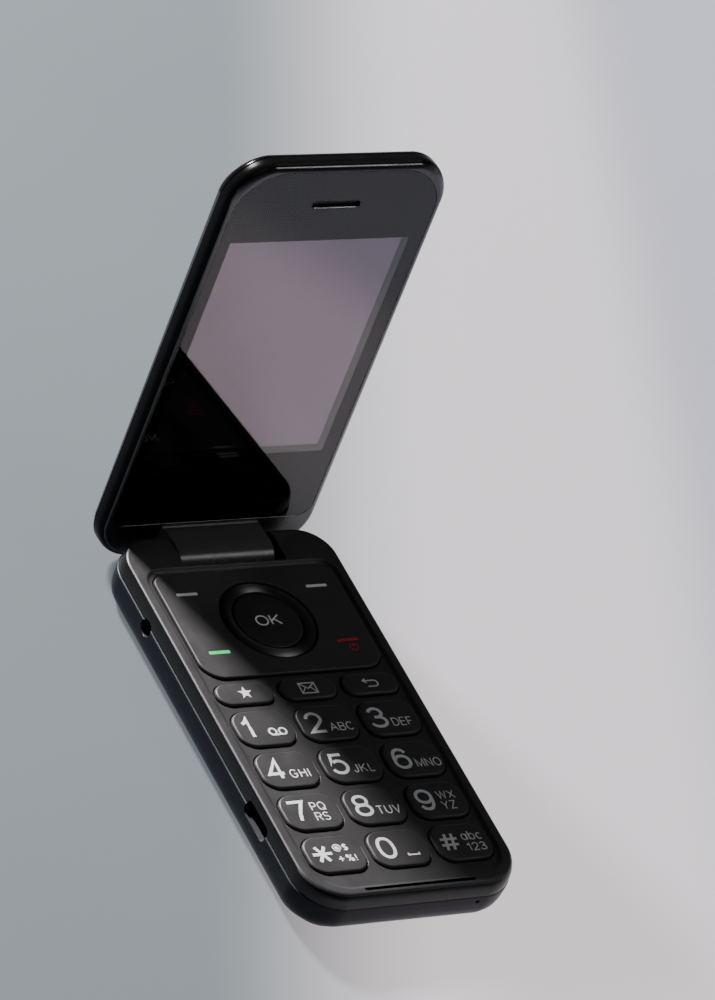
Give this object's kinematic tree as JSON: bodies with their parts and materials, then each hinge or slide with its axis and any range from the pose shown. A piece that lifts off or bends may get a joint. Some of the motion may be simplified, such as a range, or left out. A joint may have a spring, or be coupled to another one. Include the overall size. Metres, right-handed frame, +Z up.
{
  "type": "feature phone",
  "caption": "Folding feature phone standing open: keypad half with number keys and a direction ring, barrel hinge, display half with printed lens over a colour screen.",
  "frame": {"origin": "on the keypad half's flat back, at the centre of the folded phone", "axes": "+X to the right of the keypad, +Y towards the hinge, +Z up out of the keypad"},
  "size_m": [0.053, 0.1215, 0.1066],
  "materials": {
    "front_housing": "fine satin texture",
    "chassis": "moulded",
    "battery_cover": "satin",
    "battery": "wrapped cell",
    "board": "solder mask",
    "steel": "plated",
    "dome_film": "film",
    "silicone": "soft",
    "black_moulding": "moulded",
    "brass": "plated",
    "connector": "moulded",
    "keys": "satin",
    "nav_panel": "satin",
    "nav_ring": "satin gloss",
    "ok_button": "satin",
    "lid_frame": "satin gloss",
    "lid_shell": "polished",
    "lens": "printed border",
    "camera_glass": "polished",
    "lcd": "polarised film",
    "backlight": "white moulding",
    "legend_white": "printed",
    "legend_red": "printed",
    "legend_green": "printed",
    "lens_print": "printed"
  },
  "bodies": {
    "base": {"base_front_housing": "front_housing", "base_chassis": "chassis", "battery_cover": "battery_cover", "battery": "battery", "main_board": "board", "shield_cans": "steel", "dome_sheet": "dome_film", "keypad_web": "silicone", "audio_jack": "black_moulding", "usb_socket": "steel", "microphone": "steel", "loudspeaker": "black_moulding", "vibration_motor": "steel", "sim_reader": "steel", "battery_contacts": "brass", "antenna": "brass", "base_screws": "steel", "harness_connector": "connector"},
    "lid": {"lid_front_frame": "lid_frame", "hinge_knuckle": "lid_frame", "lid_rear_shell": "lid_shell", "display_lens": "lens", "lcd_panel": "lcd", "backlight": "backlight", "lid_board": "board", "earpiece": "black_moulding", "earpiece_mesh": "black_moulding", "camera_module": "black_moulding", "camera_window": "camera_glass", "closing_magnet": "steel", "lid_screws": "steel", "hinge_module": "steel", "hinge_pin": "steel", "hinge_harness": "black_moulding"},
    "key_1": {"key_1": "keys"},
    "key_2": {"key_2": "keys"},
    "key_3": {"key_3": "keys"},
    "key_4": {"key_4": "keys"},
    "key_5": {"key_5": "keys"},
    "key_6": {"key_6": "keys"},
    "key_7": {"key_7": "keys"},
    "key_8": {"key_8": "keys"},
    "key_9": {"key_9": "keys"},
    "key_star": {"key_star": "keys"},
    "key_0": {"key_0": "keys"},
    "key_hash": {"key_hash": "keys"},
    "key_favourites": {"key_favourites": "keys"},
    "key_messages": {"key_messages": "keys"},
    "key_back": {"key_back": "keys"},
    "panel_fulcrum": {"panel_fulcrum": "silicone"},
    "nav_panel": {"nav_panel": "nav_panel"},
    "ring_fulcrum": {"ring_fulcrum": "silicone"},
    "nav_ring": {"nav_ring": "nav_ring"},
    "ok_button": {"ok_button": "ok_button"}
  },
  "joints": [
    {"name": "lid_hinge", "type": "hinge", "parent": "base", "child": "lid", "pos_m": [0, 0.0491, 0.00585], "axis": [-1, 0, 0], "range_deg": [-94.7, 64.3]},
    {"name": "key_1_press", "type": "slide", "parent": "base", "child": "key_1", "axis": [0, 0, -1], "range_m": [0, 0.0004], "stiffness_N_per_m": 800},
    {"name": "key_2_press", "type": "slide", "parent": "base", "child": "key_2", "axis": [0, 0, -1], "range_m": [0, 0.0004], "stiffness_N_per_m": 800},
    {"name": "key_3_press", "type": "slide", "parent": "base", "child": "key_3", "axis": [0, 0, -1], "range_m": [0, 0.0004], "stiffness_N_per_m": 800},
    {"name": "key_4_press", "type": "slide", "parent": "base", "child": "key_4", "axis": [0, 0, -1], "range_m": [0, 0.0004], "stiffness_N_per_m": 800},
    {"name": "key_5_press", "type": "slide", "parent": "base", "child": "key_5", "axis": [0, 0, -1], "range_m": [0, 0.0004], "stiffness_N_per_m": 800},
    {"name": "key_6_press", "type": "slide", "parent": "base", "child": "key_6", "axis": [0, 0, -1], "range_m": [0, 0.0004], "stiffness_N_per_m": 800},
    {"name": "key_7_press", "type": "slide", "parent": "base", "child": "key_7", "axis": [0, 0, -1], "range_m": [0, 0.0004], "stiffness_N_per_m": 800},
    {"name": "key_8_press", "type": "slide", "parent": "base", "child": "key_8", "axis": [0, 0, -1], "range_m": [0, 0.0004], "stiffness_N_per_m": 800},
    {"name": "key_9_press", "type": "slide", "parent": "base", "child": "key_9", "axis": [0, 0, -1], "range_m": [0, 0.0004], "stiffness_N_per_m": 800},
    {"name": "key_star_press", "type": "slide", "parent": "base", "child": "key_star", "axis": [0, 0, -1], "range_m": [0, 0.0004], "stiffness_N_per_m": 800},
    {"name": "key_0_press", "type": "slide", "parent": "base", "child": "key_0", "axis": [0, 0, -1], "range_m": [0, 0.0004], "stiffness_N_per_m": 800},
    {"name": "key_hash_press", "type": "slide", "parent": "base", "child": "key_hash", "axis": [0, 0, -1], "range_m": [0, 0.0004], "stiffness_N_per_m": 800},
    {"name": "key_favourites_press", "type": "slide", "parent": "base", "child": "key_favourites", "axis": [0, 0, -1], "range_m": [0, 0.0004], "stiffness_N_per_m": 800},
    {"name": "key_messages_press", "type": "slide", "parent": "base", "child": "key_messages", "axis": [0, 0, -1], "range_m": [0, 0.0004], "stiffness_N_per_m": 800},
    {"name": "key_back_press", "type": "slide", "parent": "base", "child": "key_back", "axis": [0, 0, -1], "range_m": [0, 0.0004], "stiffness_N_per_m": 800},
    {"name": "panel_rock_up_down", "type": "hinge", "parent": "base", "child": "panel_fulcrum", "pos_m": [0, 0.0261, 0.0106], "axis": [1, 0, 0], "range_deg": [-0.4, 0.4], "stiffness_Nm_per_rad": 0.27},
    {"name": "panel_rock_left_right", "type": "hinge", "parent": "panel_fulcrum", "child": "nav_panel", "pos_m": [0, 0.0261, 0.0106], "axis": [0, 1, 0], "range_deg": [-0.4, 0.4], "stiffness_Nm_per_rad": 0.27},
    {"name": "ring_tilt_up_down", "type": "hinge", "parent": "base", "child": "ring_fulcrum", "pos_m": [0, 0.0261, 0.0106], "axis": [1, 0, 0], "range_deg": [-1.2, 1.2], "stiffness_Nm_per_rad": 0.1},
    {"name": "ring_tilt_left_right", "type": "hinge", "parent": "ring_fulcrum", "child": "nav_ring", "pos_m": [0, 0.0261, 0.0106], "axis": [0, 1, 0], "range_deg": [-1.2, 1.2], "stiffness_Nm_per_rad": 0.1},
    {"name": "ok_button_press", "type": "slide", "parent": "base", "child": "ok_button", "axis": [0, 0, -1], "range_m": [0, 0.0004], "stiffness_N_per_m": 800}
  ]
}
